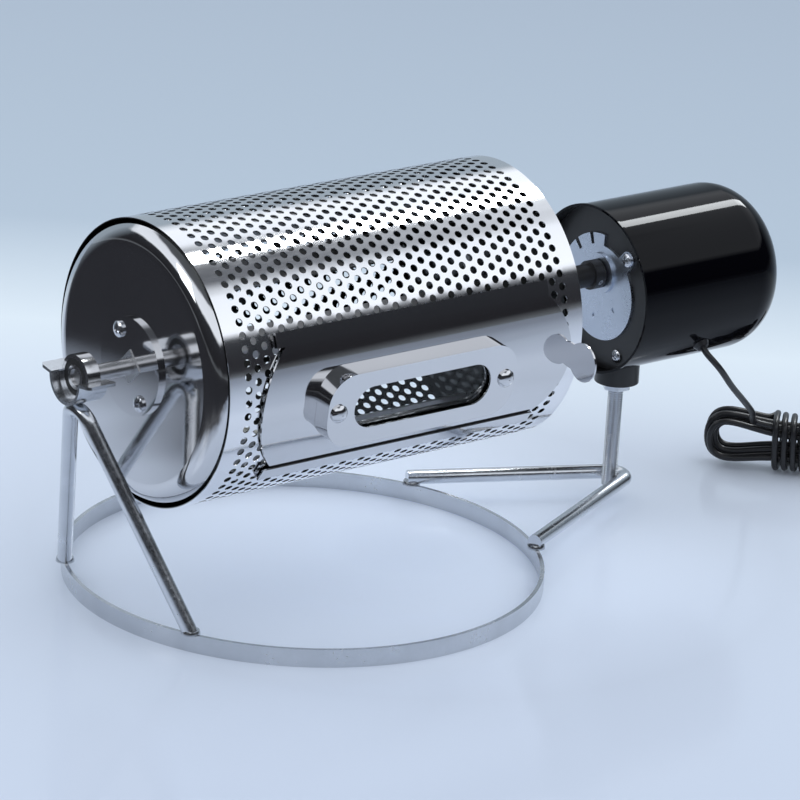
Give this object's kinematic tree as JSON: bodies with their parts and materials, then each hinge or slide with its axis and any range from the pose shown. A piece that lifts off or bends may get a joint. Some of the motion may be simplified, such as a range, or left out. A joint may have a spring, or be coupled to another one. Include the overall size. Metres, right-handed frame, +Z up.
{
  "type": "drum coffee roaster",
  "caption": "Perforated drum for roasting beans, turned by a gear motor over a wire stand with a ring foot; a windowed door slides along the drum.",
  "frame": {"origin": "on the table, under the middle of the length and width without the cord", "axes": "+X along the drum's axis from the bearing to the motor, +Z up, the door faces -Y"},
  "size_m": [0.5762, 0.239, 0.1969],
  "materials": {
    "zinc_steel": "bright zinc plate",
    "bearing_steel": "ground",
    "brass_strip": "pressed",
    "black_rubber": "matte",
    "polished_stainless": "mirror polish",
    "stainless": "bright rolled",
    "bright_steel": "bright",
    "clear_glass": "clear",
    "black_nylon": "satin",
    "motor_zinc": "blue zinc plate",
    "black_gloss_steel": "gloss black",
    "black_vinyl": "smooth satin",
    "pin_brass": "bright"
  },
  "bodies": {
    "stand": {"base_ring": "zinc_steel", "front_legs": "zinc_steel", "bearing_cradle": "zinc_steel", "rear_brace": "zinc_steel", "rear_post": "zinc_steel", "post_nut": "zinc_steel", "bearing_outer_race": "bearing_steel", "bearing_seals": "black_rubber", "post_socket": "black_nylon", "motor_bracket": "black_nylon", "bracket_screws": "bright_steel", "gear_motor": "motor_zinc", "motor_can": "black_gloss_steel", "cord_grommet": "black_vinyl", "power_cord": "black_vinyl", "cord_hank": "black_vinyl", "cord_binding": "black_vinyl", "cord_tail": "black_vinyl", "power_plug": "black_vinyl", "plug_pins": "pin_brass"},
    "balls_and_cage": {"bearing_balls": "bearing_steel", "bearing_cage": "brass_strip"},
    "drum": {"bearing_inner_race": "bearing_steel", "drum_axle": "stainless", "front_cap": "polished_stainless", "rear_cap": "polished_stainless", "front_hub_flange": "polished_stainless", "rear_hub_flange": "polished_stainless", "front_hub_screws": "bright_steel", "rear_hub_screws": "bright_steel", "hub_nuts": "bright_steel", "drum_sheet": "stainless", "upper_rail": "stainless", "lower_rail": "stainless", "lifting_vane_1": "stainless", "lifting_vane_2": "stainless", "lifting_vane_3": "stainless"},
    "door": {"door_plate": "polished_stainless", "window_frame": "polished_stainless", "window_glass": "clear_glass", "window_gasket": "black_rubber", "glass_clip": "polished_stainless", "window_rivets": "polished_stainless"},
    "drive": {"output_shaft": "bright_steel", "shaft_coupling": "black_nylon", "grub_screw": "bright_steel"}
  },
  "joints": [
    {"name": "drum_spin", "type": "hinge", "parent": "stand", "child": "drum", "pos_m": [0, 0, 0.127], "axis": [1, 0, 0], "continuous": true},
    {"name": "drive_spin", "type": "hinge", "parent": "stand", "child": "drive", "pos_m": [0.12, 0, 0.127], "axis": [1, 0, 0], "continuous": true},
    {"name": "cage_spin", "type": "hinge", "parent": "stand", "child": "balls_and_cage", "pos_m": [-0.2, 0, 0.127], "axis": [1, 0, 0], "continuous": true},
    {"name": "door_slide", "type": "slide", "parent": "drum", "child": "door", "axis": [1, 0, 0], "range_m": [0, 0.078]}
  ],
  "couplings": [
    {"joint": "drive_spin", "follows": "drum_spin", "ratio": 1},
    {"joint": "cage_spin", "follows": "drum_spin", "ratio": 0.3677}
  ]
}
